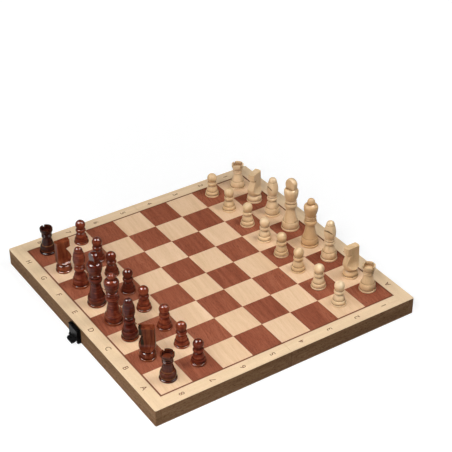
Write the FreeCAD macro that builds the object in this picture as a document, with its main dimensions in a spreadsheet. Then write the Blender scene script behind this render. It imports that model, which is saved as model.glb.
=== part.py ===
"""Folding chess box: two hinged half boxes that open flat to a board, with its thirty-two chessmen.

Frame, in millimetres: the origin is the middle of the open board on the plane of its rims.
X runs from the black player's edge (rank 8) to the white player's edge (rank 1),
Y runs from file a to file h, and Z is up. The board folds about the Y axis.
"""
import FreeCAD, Part
import os
import re

import Sketcher

# Every driving dimension: alias, millimetres or a sum of those above it, meaning
BOARD_SIZES = [
    ("square", 40.0, "edge of one square"),
    ("line_wide", 1.5, "width of the dark inlay line round the field"),
    ("border", 17.5, "width of the pale border outside the line"),
    ("box_depth", 22.5, "rim to playing surface of one half"),
    ("veneer", 0.6, "thickness of squares, line and border"),
    ("panel", 3.4, "thickness of the core panel under the veneer"),
    ("rail_wall", 8.0, "thickness of the frame rails"),
    ("rebate", 4.0, "width of the ledge that carries the core panel"),
    ("panel_gap", 0.2, "play of the core panel in its rebate"),
    ("tongue_thick", 3.0, "thickness of the corner tongues"),
    ("tongue_long", 4.0, "length of the corner tongues"),
    ("corner_round", 1.6, "radius of the upright outer corners"),
    ("rim_ease", 0.5, "chamfer along the outer rim edges"),
    ("fold_gap", 0.4, "gap between the open halves at the fold"),
    ("rim_gap", 0.3, "gap between the rims of the closed box"),
]
HINGE_SIZES = [
    ("hinge_place", 100.0, "distance of each hinge from the middle"),
    ("hinge_long", 24.0, "length of a hinge along the fold"),
    ("leaf_wide", 6.6, "reach of a leaf from the fold"),
    ("leaf_thick", 0.8, "thickness of a leaf"),
    ("leaf_gap", 0.2, "play of a leaf in its mortise"),
    ("knuckle_r", 1.3, "outer radius of the knuckles"),
    ("knuckle_mid", 9.0, "length of the middle knuckle"),
    ("knuckle_gap", 0.3, "end play between knuckles"),
    ("barrel_gap", 0.35, "room round the knuckles"),
    ("hinge_pin_r", 0.7, "radius of the hinge pin"),
    ("running_fit", 0.04, "radial play of pins in their bores"),
    ("leaf_screw_out", 4.2, "distance of the leaf screws from the fold"),
    ("leaf_screw_pitch", 14.0, "spacing of the two screws of a leaf"),
    ("screw_r", 0.9, "shank radius of all screws"),
    ("screw_long", 6.0, "screw length in the wood"),
    ("screw_head_r", 1.6, "radius of the screw heads"),
    ("screw_head_high", 0.9, "height of the clasp screws' heads"),
]
CLASP_SIZES = [
    ("clasp_wide", 22.0, "width of strike and base plate"),
    ("plate_thick", 0.8, "sheet thickness of strike and base plate"),
    ("plate_round", 1.5, "corner radius of the plates"),
    ("strike_low", 1.0, "height of the strike's lower edge over the rim"),
    ("strike_tall", 10.5, "height of the strike"),
    ("lip_thick", 0.8, "thickness of the strike's lip"),
    ("lip_out", 2.0, "reach of the lip from the wall"),
    ("catch_gap", 0.3, "play between hook and lip"),
    ("strike_screw_up", 7.2, "height of the strike screws over the rim"),
    ("base_low", 1.0, "height of the base plate's lower edge over the rim"),
    ("base_tall", 19.0, "height of the base plate"),
    ("base_screw_up", 14.0, "height of the base screws over the rim"),
    ("screw_inset", 4.5, "distance of a plate's screws from its ends"),
    ("plate_screw_pitch", "=clasp_wide - 2 * screw_inset", "spacing of the two screws of a plate"),
    ("lever_pin_out", 3.6, "distance of the lever's pivot from the wall"),
    ("lever_pin_up", 2.9, "height of the lever's pivot over the rim"),
    ("ear_r", 1.7, "radius of the base plate's ears round the pivot"),
    ("rivet_r", 0.8, "radius of the pivot rivets"),
    ("rivet_head_r", 1.4, "radius of the rivet heads"),
    ("rivet_head_high", 0.5, "height of the rivet heads"),
    ("side_gap", 0.3, "side play of the lever between the ears"),
    ("lever_thick", 1.0, "sheet thickness of the lever"),
    ("lever_out", 4.8, "distance of the lever's cover from the wall"),
    ("lever_tall", 20.6, "height of the lever's tip over the rim"),
    ("cover_low", 7.4, "height where the lever's cover starts"),
    ("lip_flare", 0.8, "outward flare of the lever's finger tip"),
    ("hook_pin_out", 2.7, "distance of the hook's pivot from the wall"),
    ("hook_pin_up", 4.8, "height of the hook's pivot over the rim"),
    ("hook_pin_r", 0.8, "radius of the hook's trunnions"),
    ("hook_eye_r", 1.3, "radius of the hook's rolled end"),
    ("hook_side_gap", 1.4, "side play of the hook between the lever's cheeks"),
    ("hook_wide", "=clasp_wide - 2 * (plate_thick + side_gap + lever_thick + hook_side_gap)", "width of the hook"),
    ("hook_round", 3.5, "radius of the hook's two free corners"),
    ("hook_thick", 0.9, "sheet thickness of the hook"),
]
TURNING_SIZES = [
    ("turn_step", 0.8, "depth of the small steps turned into every piece"),
    ("bell_bulge", 0.9, "swell of the lower bell of every piece"),
    ("neck_high", 1.2, "height of the straight neck under the collars"),
    ("roll_depth", 1.1, "roundness of the turned collars"),
    ("pawn_foot_r", 9.3, "radius of the pawn's foot"),
    ("pawn_foot_high", 2.4, "height of the pawn's foot"),
    ("pawn_shoulder_r", 7.4, "radius over the pawn's bell"),
    ("pawn_bell_high", 5.2, "height of the pawn's bell"),
    ("pawn_neck_r", 4.1, "radius of the pawn's neck"),
    ("pawn_stem_high", 7.4, "height of the pawn's stem"),
    ("pawn_stem_bulge", 1.2, "swell of the pawn's stem"),
    ("pawn_collar_r", 6.4, "radius of the pawn's collar"),
    ("pawn_collar_high", 4.4, "height of the pawn's collar"),
    ("pawn_throat_r", 4.6, "radius under the pawn's head"),
    ("pawn_throat_high", 1.4, "height under the pawn's head"),
    ("pawn_head_r", 6.3, "radius of the pawn's head"),
    ("rook_foot_r", 10.5, "radius of the rook's foot"),
    ("rook_foot_high", 2.4, "height of the rook's foot"),
    ("rook_shoulder_r", 8.5, "radius over the rook's bell"),
    ("rook_bell_high", 8.5, "height of the rook's bell"),
    ("rook_neck_r", 5.2, "radius of the rook's neck"),
    ("rook_stem_high", 10.5, "height of the rook's stem"),
    ("rook_stem_bulge", 0.3, "swell of the rook's stem"),
    ("rook_collar_r", 6.6, "radius of the rook's lower collar"),
    ("rook_collar_high", 2.9, "height of the rook's lower collar"),
    ("rook_ring_r", 6.4, "radius of the rook's upper collar"),
    ("rook_ring_high", 2.4, "height of the rook's upper collar"),
    ("rook_cup_low_r", 5.9, "radius at the bottom of the rook's cup"),
    ("rook_cup_r", 8.0, "outer radius of the rook's cup"),
    ("rook_cup_flare_high", 4.4, "height of the cup's flare"),
    ("rook_cup_bulge", 0.3, "swell of the cup's flare"),
    ("rook_cup_wall_high", 3.0, "height of the cup's upright wall"),
    ("rook_cup_wall", 1.9, "wall thickness of the cup"),
    ("rook_cup_deep", 4.5, "depth of the cup"),
    ("rook_notch_wide", 2.0, "width of the cup's notches"),
    ("rook_notch_deep", 2.6, "depth of the cup's notches"),
    ("bishop_foot_r", 10.4, "radius of the bishop's foot"),
    ("bishop_foot_high", 3.2, "height of the bishop's foot"),
    ("bishop_shoulder_r", 8.6, "radius over the bishop's bell"),
    ("bishop_bell_high", 8.8, "height of the bishop's bell"),
    ("bishop_neck_r", 4.7, "radius of the bishop's neck"),
    ("bishop_stem_high", 9.2, "height of the bishop's stem"),
    ("bishop_stem_bulge", 0.8, "swell of the bishop's stem"),
    ("bishop_collar_r", 7.0, "radius of the bishop's lower collar"),
    ("bishop_collar_high", 4.6, "height of the bishop's lower collar"),
    ("bishop_ring_r", 6.2, "radius of the bishop's upper collar"),
    ("bishop_ring_high", 3.4, "height of the bishop's upper collar"),
    ("bishop_mitre_low_r", 5.4, "radius at the bottom of the mitre"),
    ("bishop_mitre_r", 7.4, "largest radius of the mitre"),
    ("bishop_mitre_low_high", 7.6, "height of the mitre up to its widest"),
    ("bishop_mitre_top_high", 11.9, "height of the mitre above its widest"),
    ("bishop_mitre_bulge", 0.6, "swell of the mitre"),
    ("bishop_tip_r", 5.2, "radius at the top of the mitre"),
    ("bishop_groove_r", 4.5, "radius of the groove under the bishop's knob"),
    ("bishop_groove_high", 0.5, "height of the groove under the bishop's knob"),
    ("bishop_knob_r", 5.2, "radius of the bishop's domed knob"),
    ("bishop_slit_wide", 1.1, "width of the saw cut in the mitre"),
    ("bishop_slit_root", 3.9, "distance of the saw cut's root from the axis"),
    ("bishop_slit_up", 1.2, "height of the saw cut's root over the mitre's widest"),
    ("bishop_slit_angle", 50.0, "slope of the saw cut in degrees"),
    ("queen_foot_r", 11.5, "radius of the queen's foot"),
    ("queen_foot_high", 3.0, "height of the queen's foot"),
    ("queen_shoulder_r", 9.8, "radius over the queen's bell"),
    ("queen_bell_high", 8.8, "height of the queen's bell"),
    ("queen_neck_r", 5.5, "radius of the queen's neck"),
    ("queen_stem_high", 18.0, "height of the queen's stem"),
    ("queen_stem_bulge", -0.3, "hollow of the queen's stem"),
    ("queen_collar_r", 8.2, "radius of the queen's lower collar"),
    ("queen_collar_high", 6.2, "height of the queen's lower collar"),
    ("queen_ring_r", 7.3, "radius of the queen's two upper collars"),
    ("queen_ring_high", 3.0, "height of each upper collar"),
    ("queen_crown_low_r", 6.2, "radius at the bottom of the queen's crown"),
    ("queen_crown_r", 9.1, "largest radius of the queen's crown"),
    ("queen_crown_low_high", 12.1, "height of the crown up to its widest"),
    ("queen_crown_top_high", 5.2, "height of the crown above its widest"),
    ("queen_crown_bulge", 0.6, "swell of the crown below its widest"),
    ("queen_brow_bulge", 1.6, "swell of the crown above its widest"),
    ("queen_tip_r", 4.2, "radius under the queen's ball"),
    ("queen_ball_r", 4.9, "radius of the queen's ball"),
    ("king_foot_r", 11.7, "radius of the king's foot"),
    ("king_foot_high", 3.0, "height of the king's foot"),
    ("king_shoulder_r", 9.9, "radius over the king's bell"),
    ("king_bell_high", 9.1, "height of the king's bell"),
    ("king_neck_r", 5.7, "radius of the king's neck"),
    ("king_stem_high", 18.6, "height of the king's stem"),
    ("king_stem_bulge", -0.3, "hollow of the king's stem"),
    ("king_collar_r", 8.2, "radius of the king's lower collar"),
    ("king_collar_high", 6.5, "height of the king's lower collar"),
    ("king_ring_r", 7.3, "radius of the king's upper collar"),
    ("king_ring_high", 4.0, "height of the king's upper collar"),
    ("king_crown_low_r", 6.4, "radius at the bottom of the king's crown"),
    ("king_crown_r", 9.3, "largest radius of the king's crown"),
    ("king_crown_low_high", 12.8, "height of the crown up to its widest"),
    ("king_crown_top_high", 4.2, "height of the crown above its widest"),
    ("king_crown_bulge", 0.8, "swell of the crown below its widest"),
    ("king_brow_bulge", 0.8, "swell of the crown above its widest"),
    ("king_finial_low_r", 6.8, "radius at the bottom of the king's finial"),
    ("king_finial_r", 7.7, "largest radius of the king's finial"),
    ("king_finial_low_high", 6.6, "height of the finial up to its widest"),
    ("king_finial_bulge", 0.3, "swell of the finial's lower part"),
    ("king_finial_thick", 7.0, "thickness of the finial between its two flats"),
    ("knight_foot_r", 10.1, "radius of the knight's foot"),
    ("knight_foot_high", 2.5, "height of the knight's foot"),
    ("knight_dome_r", 7.2, "radius at the top of the knight's domed base"),
    ("knight_dome_high", 7.2, "height of the domed base"),
    ("knight_dome_bulge", 1.6, "swell of the domed base"),
    ("knight_seat_r", 6.8, "radius of the groove between base and head"),
    ("knight_chest_r", 9.9, "largest radius of the turned chest"),
    ("knight_chest_high", 9.0, "height of the chest's widest over the base"),
    ("knight_chest_bulge", 0.9, "swell of the chest"),
    ("knight_poll_r", 9.3, "radius at the flat top of the head"),
    ("knight_head_high", 33.4, "height of the flat top over the base"),
    ("knight_head_thick", 8.6, "thickness between the sawn flats"),
    ("knight_scoop_top", 12.5, "height over the base where the flats begin to run out"),
    ("knight_scoop_low", 3.2, "height over the base where the flats have run out"),
    ("knight_scoop_hollow", 1.7, "hollow of the flats' run-out"),
    ("knight_throat_high", 23.4, "height of the throat over the base"),
    ("knight_throat_ahead", 2.7, "distance of the throat ahead of the axis"),
    ("knight_nose_tall", 8.2, "height of the nose under the flat top"),
]
SIZES = BOARD_SIZES + HINGE_SIZES + CLASP_SIZES + TURNING_SIZES
NAMES = {alias for alias, number, meaning in SIZES}

ALONG_Z = FreeCAD.Vector(0, 0, 1)
ALONG_Y = FreeCAD.Vector(0, -1, 0)
ALONG_X = FreeCAD.Vector(1, 0, 0)
# Swing of the clasp's hook from hooked on to its rest, in degrees
HOOK_REST_TURN = -72.0
RANK_PIECES = ["rook", "knight", "bishop", "queen", "king", "bishop", "knight", "rook"]
FILES = "abcdefgh"
# Pieces that stand turned on their square, in degrees about the upright axis
TURNED_PIECES = {
    "black_knight_b": 146.0,
    "white_king": 12.0,
    "white_knight_g": 23.0,
    "white_bishop_c": 19.0,
    "white_bishop_f": -8.0,
}
# How far the pieces of each row stand off the middle of their squares along X and Y, file a to h
STANDING = {
    ("white", "rank"): [(4.0, 6.1), (3.6, -0.8), (3.6, 2.0), (2.0, 0.0),
                        (2.9, 2.9), (1.5, 1.4), (0.6, 0.9), (0.8, 1.1)],
    ("white", "pawns"): [(-2.4, 2.0), (-2.0, 2.4), (-2.8, 2.8), (-1.2, 0.8),
                         (0.0, -1.0), (1.0, -1.2), (0.5, 0.9), (1.4, 3.0)],
    ("black", "rank"): [(1.0, 0.0), (0.4, 2.8), (1.2, 4.1), (0.4, 0.6),
                        (0.5, 1.1), (1.4, 3.2), (-1.2, 1.7), (0.2, 7.4)],
    ("black", "pawns"): [(2.9, 3.9), (3.5, 0.5), (3.6, -2.2), (1.5, 1.1),
                         (2.8, 0.3), (3.6, 2.0), (3.9, -2.1), (4.6, 2.4)],
}

# Lengths that follow from the driving dimensions
OUTER = "(4 * square + line_wide + border)"
FIELD = "(4 * square)"
FOLD_FACE = "(fold_gap / 2)"
RAIL_TOP = "(box_depth - veneer)"
PANEL_LOW = "(box_depth - veneer - panel)"
LEDGE = f"({OUTER} - rail_wall + rebate)"
FOLD_LEDGE = f"({FOLD_FACE} + rail_wall - rebate)"
AXIS_UP = "(-rim_gap / 2)"
# Ends of a hinge's knuckles along the fold, from its middle
OUTER_KNUCKLES = [
    ("(-hinge_long / 2)", "(-knuckle_mid / 2 - knuckle_gap)"),
    ("(knuckle_mid / 2 + knuckle_gap)", "(hinge_long / 2)"),
]
MIDDLE_KNUCKLE = [("(-knuckle_mid / 2)", "(knuckle_mid / 2)")]
LEVER_WIDE = "(clasp_wide - 2 * plate_thick - 2 * side_gap)"
LIP_LOW = "(strike_low + plate_thick / 2)"
LIP_TOP = f"({LIP_LOW} + lip_thick)"
# Depth below the black rim at which the hook passes over the lip of the closed box
CATCH_DEPTH = f"({LIP_TOP} + rim_gap + catch_gap)"
LEVER_AXIS = (f"({OUTER} + lever_pin_out)", "lever_pin_up")
HOOK_AXIS = (f"({OUTER} + hook_pin_out)", "hook_pin_up")
LEVER_BACK = f"({OUTER} + plate_thick + side_gap)"

doc = FreeCAD.newDocument("chess_box")
sheet = doc.addObject("Spreadsheet::Sheet", "Sizes")
for row, (alias, number, meaning) in enumerate(SIZES, start=1):
    sheet.set(f"A{row}", meaning)
    sheet.set(f"B{row}", str(number))
    sheet.setAlias(f"B{row}", alias)
doc.recompute()


def value(text):
    """The number that an expression of sizes gives."""
    return float(sheet.evalExpression(text))


def bound(text):
    """The same expression, written for an object outside the sheet."""
    return re.sub(r"[a-z][a-z0-9_]*", lambda word: sheet_name(word.group()), text)


def sheet_name(word):
    return f"Sizes.{word}" if word in NAMES else word


def point(place):
    return FreeCAD.Vector(value(place[0]), value(place[1]), 0)


# Sketches and solid features


def new_body(name):
    body = doc.addObject("PartDesign::Body", name)
    body.AllowCompound = True
    return body


def new_sketch(body, name, plane, level="0"):
    """A sketch on one of the body's own planes, raised along that plane's normal."""
    sketch = body.newObject("Sketcher::SketchObject", name)
    planes = {feature.Role: feature for feature in body.Origin.OriginFeatures}
    sketch.AttachmentSupport = (planes[plane], [""])
    sketch.MapMode = "FlatFace"
    sketch.setExpression(".AttachmentOffset.Base.z", bound(level))
    return sketch


def fix_number(sketch, constraint, text):
    number = sketch.addConstraint(constraint)
    sketch.setExpression(f"Constraints[{number}]", bound(text))


def fix_point(sketch, geometry, end, place):
    """Ties one end of a sketch element to two expressions of sizes."""
    for kind, text in zip(("DistanceX", "DistanceY"), place):
        fix_number(sketch, Sketcher.Constraint(kind, -1, 1, geometry, end, value(text)), text)


def draw_outline(sketch, start, steps):
    """A closed outline. A step of two texts is a straight run, one of four an arc through a point."""
    steps = list(steps)
    if steps[-1][-2:] != start:
        steps.append(start)
    begin = start
    ends = []
    for step in steps:
        tip = step[-2:]
        if len(step) == 4:
            ends.append(draw_arc(sketch, begin, step[:2], tip))
        else:
            number = sketch.addGeometry(Part.LineSegment(point(begin), point(tip)))
            ends.append((number, 1, 2))
        begin = tip
    for (number, first, last), (after, after_first, after_last) in zip(ends, ends[1:] + ends[:1]):
        sketch.addConstraint(Sketcher.Constraint("Coincident", number, last, after, after_first))
    begin = start
    for (number, first, last), step in zip(ends, steps):
        fix_point(sketch, number, first, begin)
        begin = step[-2:]


def draw_arc(sketch, begin, middle, tip):
    """An arc through three places. Sketched arcs run anticlockwise, so it may be drawn backwards."""
    start, through, finish = point(begin), point(middle), point(tip)
    backwards = (through - start).cross(finish - start).z < 0
    if backwards:
        start, finish = finish, start
    number = sketch.addGeometry(Part.Arc(start, through, finish))
    mark = sketch.addGeometry(Part.Point(through), True)
    fix_point(sketch, mark, 1, middle)
    sketch.addConstraint(Sketcher.Constraint("PointOnObject", mark, 1, number))
    return (number, 2, 1) if backwards else (number, 1, 2)


def draw_box(sketch, left, low, right, high):
    draw_outline(sketch, (left, low), [(right, low), (right, high), (left, high)])


def draw_circle(sketch, across, up, radius):
    centre = point((across, up))
    circle = Part.Circle(centre, FreeCAD.Vector(0, 0, 1), value(radius))
    number = sketch.addGeometry(circle)
    fix_point(sketch, number, 3, (across, up))
    fix_number(sketch, Sketcher.Constraint("Radius", number, value(radius)), radius)


def add_solid(body, kind, sketch, length, both_ways=False, along=True):
    """A pad or pocket of a sketch, along its normal or evenly both ways."""
    feature = body.newObject(f"PartDesign::{kind}", f"{sketch.Name}{kind}")
    feature.Profile = sketch
    feature.setExpression("Length", bound(length))
    if both_ways:
        feature.SideType = "Symmetric"
    else:
        feature.Reversed = along == (kind == "Pocket")
    body.Tip = feature
    return feature


def pad(body, sketch, length, both_ways=False):
    return add_solid(body, "Pad", sketch, length, both_ways)


def pocket(body, sketch, length, both_ways=False):
    return add_solid(body, "Pocket", sketch, length, both_ways)


def edges_where(shape, test):
    """The names of the edges whose bounding box passes a test."""
    names = []
    for number, edge in enumerate(shape.Edges, start=1):
        if test(edge.BoundBox):
            names.append(f"Edge{number}")
    return names


def near(first, second):
    return abs(first - second) < 0.01


def dress_edges(body, kind, size_name, size, test):
    """A fillet or chamfer on every edge of the body's last feature that passes a test."""
    doc.recompute()
    base = body.Tip
    feature = body.newObject(f"PartDesign::{kind}", f"{body.Name}{kind}")
    feature.Base = (base, edges_where(base.Shape, test))
    feature.setExpression(size_name, bound(size))
    body.Tip = feature


def box(name, low, high):
    """A plain block between two corners, each three expressions of sizes."""
    block = doc.addObject("Part::Box", name)
    for side, bottom, top in zip(("Length", "Width", "Height"), low, high):
        block.setExpression(side, bound(f"({top}) - ({bottom})"))
    for axis, bottom in zip("xyz", low):
        block.setExpression(f".Placement.Base.{axis}", bound(bottom))
    return block


def round_bar(name, kind, axis, places, radii, length):
    """A cylinder or cone from a place along Z, Y or X."""
    bar = doc.addObject(f"Part::{kind}", name)
    for radius_name, text in radii.items():
        bar.setExpression(radius_name, bound(text))
    bar.setExpression("Height", bound(length))
    bar.Placement.Rotation = FreeCAD.Rotation(FreeCAD.Vector(0, 0, 1), axis)
    for letter, text in zip("xyz", places):
        bar.setExpression(f".Placement.Base.{letter}", bound(text))
    return bar


def join(name, kind, pieces):
    """A compound of separate solids, or one fused solid."""
    whole = doc.addObject(f"Part::{kind}", name)
    if kind == "Compound":
        whole.Links = pieces
    else:
        whole.Shapes = pieces
    return whole


def cut(name, base, tool):
    trimmed = doc.addObject("Part::Cut", name)
    trimmed.Base = base
    trimmed.Tool = tool
    return trimmed


# Nodes: what is written to its own file

nodes = []
HALF_TURN = FreeCAD.Placement(FreeCAD.Vector(), FreeCAD.Rotation(FreeCAD.Vector(0, 0, 1), 180))


def keep(piece, label):
    piece.Label = label
    nodes.append(piece)
    return piece


def keep_on_black(piece, label):
    """Moves a piece that was modelled at the white edge to the black edge."""
    piece.Placement = HALF_TURN.multiply(piece.Placement)
    return keep(piece, label)


def keep_black_copy(piece, label):
    """The black half's own copy of a piece of the white half."""
    copy = doc.addObject("App::Link", label)
    copy.LinkedObject = piece
    copy.LinkTransform = True
    copy.Placement = HALF_TURN
    return keep(copy, label)


def keep_both(piece, name):
    keep(piece, f"white_{name}")
    keep_black_copy(piece, f"black_{name}")


# Frame rails of one half


def cut_panel_ledge(body, near_edge, far_edge):
    ledge = new_sketch(body, f"{body.Name}Ledge", "XY_Plane", PANEL_LOW)
    draw_box(ledge, near_edge, f"-{LEDGE}", far_edge, LEDGE)
    pocket(body, ledge, "panel")


def tongue_span(front):
    """Low and high Y of the corner tongue, on the front or the back rail."""
    middle = f"({OUTER} - rail_wall / 2)"
    if front:
        return f"-{middle} - tongue_thick / 2", f"-{middle} + tongue_thick / 2"
    return f"{middle} - tongue_thick / 2", f"{middle} + tongue_thick / 2"


def cut_corner_grooves(body, near_edge, far_edge):
    grooves = new_sketch(body, f"{body.Name}Grooves", "XY_Plane")
    for front in (True, False):
        low, high = tongue_span(front)
        draw_box(grooves, near_edge, low, far_edge, high)
    pocket(body, grooves, RAIL_TOP)


def ease_outer_rim(body):
    """Chamfers the rim edges that lie on the outside of the half."""
    outer = value(OUTER)

    def on_outer_rim(edge):
        low = near(edge.ZMax, 0)
        across = near(edge.XMin, outer)
        along = near(edge.YMin, outer) or near(edge.YMax, -outer)
        return low and (across or along)

    dress_edges(body, "Chamfer", "Size", "rim_ease", on_outer_rim)


def hinge_rail():
    body = new_body("HingeRail")
    inside = f"({FOLD_FACE} + rail_wall)"
    plan = new_sketch(body, "HingeRailPlan", "XY_Plane")
    draw_box(plan, FOLD_FACE, f"-{OUTER}", inside, OUTER)
    pad(body, plan, RAIL_TOP)
    cut_panel_ledge(body, FOLD_LEDGE, inside)
    cut_corner_grooves(body, f"{inside} - tongue_long", inside)
    notches = new_sketch(body, "HingeRailBarrelNotches", "XY_Plane")
    mortises = new_sketch(body, "HingeRailMortises", "XY_Plane")
    holes = new_sketch(body, "HingeRailScrewHoles", "XY_Plane")
    for side in ("-", ""):
        low = f"{side}hinge_place - hinge_long / 2 - leaf_gap"
        high = f"{side}hinge_place + hinge_long / 2 + leaf_gap"
        draw_box(notches, FOLD_FACE, low, "knuckle_r + barrel_gap", high)
        draw_box(mortises, FOLD_FACE, low, "leaf_wide + leaf_gap", high)
        for turn in ("-", "+"):
            draw_circle(holes, "leaf_screw_out", f"{side}hinge_place {turn} leaf_screw_pitch / 2", "screw_r")
    pocket(body, notches, "knuckle_r + barrel_gap")
    pocket(body, mortises, "leaf_thick")
    pocket(body, holes, "leaf_thick + screw_long")
    ease_outer_rim(body)
    return body


def latch_rail(name, screw_up):
    body = new_body(name)
    inside = f"({OUTER} - rail_wall)"
    plan = new_sketch(body, f"{name}Plan", "XY_Plane")
    draw_box(plan, inside, f"-{OUTER}", OUTER, OUTER)
    pad(body, plan, RAIL_TOP)
    round_outer_corners(body)
    cut_panel_ledge(body, inside, LEDGE)
    cut_corner_grooves(body, inside, f"{inside} + tongue_long")
    holes = new_sketch(body, f"{name}ScrewHoles", "YZ_Plane", f"{OUTER} - screw_long")
    for turn in ("-", ""):
        draw_circle(holes, f"{turn}plate_screw_pitch / 2", screw_up, "screw_r")
    pocket(body, holes, "screw_long")
    ease_outer_rim(body)
    return body


def round_outer_corners(body):
    outer = value(OUTER)

    def upright_outer(edge):
        upright = edge.ZLength > edge.XLength + edge.YLength
        return upright and near(edge.XMin, outer)

    dress_edges(body, "Fillet", "Radius", "corner_round", upright_outer)


def end_rails():
    """The two rails between hinge rail and latch rail, with tongues in both."""
    body = new_body("EndRails")
    start = f"({FOLD_FACE} + rail_wall)"
    stop = f"({OUTER} - rail_wall)"
    plan = new_sketch(body, "EndRailsPlan", "XY_Plane")
    ledges = new_sketch(body, "EndRailsLedges", "XY_Plane", PANEL_LOW)
    for front in (True, False):
        low, high = tongue_span(front)
        bottom, top = (f"-{OUTER}", f"-({OUTER} - rail_wall)") if front else (f"{OUTER} - rail_wall", OUTER)
        draw_outline(
            plan,
            (start, bottom),
            [
                (stop, bottom),
                (stop, low),
                (f"{stop} + tongue_long", low),
                (f"{stop} + tongue_long", high),
                (stop, high),
                (stop, top),
                (start, top),
                (start, high),
                (f"{start} - tongue_long", high),
                (f"{start} - tongue_long", low),
                (start, low),
            ],
        )
        shelf_low, shelf_high = (f"-{LEDGE}", top) if front else (bottom, LEDGE)
        draw_box(ledges, f"{start} - tongue_long", shelf_low, f"{stop} + tongue_long", shelf_high)
    pad(body, plan, RAIL_TOP)
    pocket(body, ledges, "panel")
    ease_outer_rim(body)
    return body


# Playing surface of one half


def core_panel():
    low = (f"{FOLD_LEDGE} + panel_gap", f"-{LEDGE} + panel_gap", PANEL_LOW)
    high = (f"{LEDGE} - panel_gap", f"{LEDGE} - panel_gap", RAIL_TOP)
    return box("CorePanel", low, high)


def squares(name, dark):
    """The sixteen squares of one wood on the white half, where a1 is dark."""
    tiles = []
    for rank in range(4):
        for column in range(8):
            if (rank + column) % 2 == (0 if dark else 1):
                near_fold = FOLD_FACE if rank == 3 else f"{3 - rank} * square"
                low = (near_fold, f"{column - 4} * square", RAIL_TOP)
                high = (f"{4 - rank} * square", f"{column - 3} * square", "box_depth")
                tiles.append(box(f"{name}{FILES[column]}{rank + 1}", low, high))
    return join(name, "Compound", tiles)


def frame_strips(name, inner, outer, rounded):
    """Three strips round the half's field: one along the player's edge and one at each end."""
    body = new_body(f"{name}Edge")
    plan = new_sketch(body, f"{name}EdgePlan", "XY_Plane", RAIL_TOP)
    draw_box(plan, inner, f"-{outer}", outer, outer)
    pad(body, plan, "veneer")
    if rounded:
        round_outer_corners(body)
    front = box(f"{name}Front", (FOLD_FACE, f"-{outer}", RAIL_TOP), (inner, f"-{inner}", "box_depth"))
    back = box(f"{name}Back", (FOLD_FACE, inner, RAIL_TOP), (inner, outer, "box_depth"))
    return join(name, "Compound", [body, front, back])


# Butt hinges


def hinge_leaf(name, middle, knuckles):
    """A leaf in the white rim, with knuckles given as pairs of ends along the fold."""
    start = "knuckle_r + barrel_gap"
    ends = (f"{middle} - hinge_long / 2", f"{middle} + hinge_long / 2")
    solids = [box(f"{name}Plate", (start, ends[0], "0"), ("leaf_wide", ends[1], "leaf_thick"))]
    for number, (low, high) in enumerate(knuckles):
        low, high = f"{middle} + {low}", f"{middle} + {high}"
        solids.append(box(f"{name}Web{number}", ("hinge_pin_r", low, "0"), (start, high, "leaf_thick")))
        barrel_place = ("0", high, AXIS_UP)
        length = f"({high}) - ({low})"
        solids.append(round_bar(f"{name}Knuckle{number}", "Cylinder", ALONG_Y, barrel_place,
                                {"Radius": "knuckle_r"}, length))
    whole = join(f"{name}Whole", "MultiFuse", solids)
    bore = round_bar(f"{name}Bore", "Cylinder", ALONG_Y, ("0", ends[1], AXIS_UP),
                     {"Radius": "hinge_pin_r + running_fit"}, "hinge_long")
    bored = cut(f"{name}Bored", whole, bore)
    sinks = []
    for turn in "-+":
        place = ("leaf_screw_out", f"{middle} {turn} leaf_screw_pitch / 2", "0")
        radii = {"Radius1": "screw_head_r + running_fit", "Radius2": "screw_r + running_fit"}
        sinks.append(round_bar(f"{name}Sink", "Cone", ALONG_Z, place, radii, "leaf_thick"))
    return cut(name, bored, join(f"{name}Sinks", "Compound", sinks))


def hinge_leaves(name, knuckles):
    pair = [hinge_leaf(f"{name}{side}", f"({sign}hinge_place)", knuckles)
            for side, sign in (("Front", "-"), ("Back", ""))]
    return join(name, "Compound", pair)


def hinge_pins():
    pins = []
    for side, sign in (("Front", "-"), ("Back", "")):
        end = ("0", f"{sign}hinge_place + hinge_long / 2", AXIS_UP)
        radius = {"Radius": "hinge_pin_r"}
        pins.append(round_bar(f"HingePin{side}", "Cylinder", ALONG_Y, end, radius, "hinge_long"))
    return join("HingePins", "Compound", pins)


def hinge_screws():
    screws = []
    for side in ("-", ""):
        for turn in "-+":
            across = f"{side}hinge_place {turn} leaf_screw_pitch / 2"
            place = ("leaf_screw_out", across, "0")
            head = round_bar("LeafScrewHead", "Cone", ALONG_Z, place,
                             {"Radius1": "screw_head_r", "Radius2": "screw_r"}, "leaf_thick")
            shank = round_bar("LeafScrewShank", "Cylinder", ALONG_Z, place,
                              {"Radius": "screw_r"}, "leaf_thick + screw_long")
            screws.append(join("LeafScrew", "MultiFuse", [head, shank]))
    return join("HingeScrews", "Compound", screws)


# Draw clasp, modelled at the white edge


def plate(name, low, tall):
    """A sheet plate on the outer wall with rounded corners and two screw holes."""
    body = new_body(name)
    plan = new_sketch(body, f"{name}Plan", "YZ_Plane", OUTER)
    draw_box(plan, "-clasp_wide / 2", low, "clasp_wide / 2", f"{low} + {tall}")
    pad(body, plan, "plate_thick")
    wall = value(OUTER)

    def corner(edge):
        return edge.XLength > edge.YLength + edge.ZLength and near(edge.XMin, wall)

    dress_edges(body, "Fillet", "Radius", "plate_round", corner)
    return body


def cut_plate_holes(body, screw_up):
    holes = new_sketch(body, f"{body.Name}Holes", "YZ_Plane", OUTER)
    for turn in ("-", ""):
        draw_circle(holes, f"{turn}plate_screw_pitch / 2", screw_up, "screw_r + running_fit")
    pocket(body, holes, "plate_thick")


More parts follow.
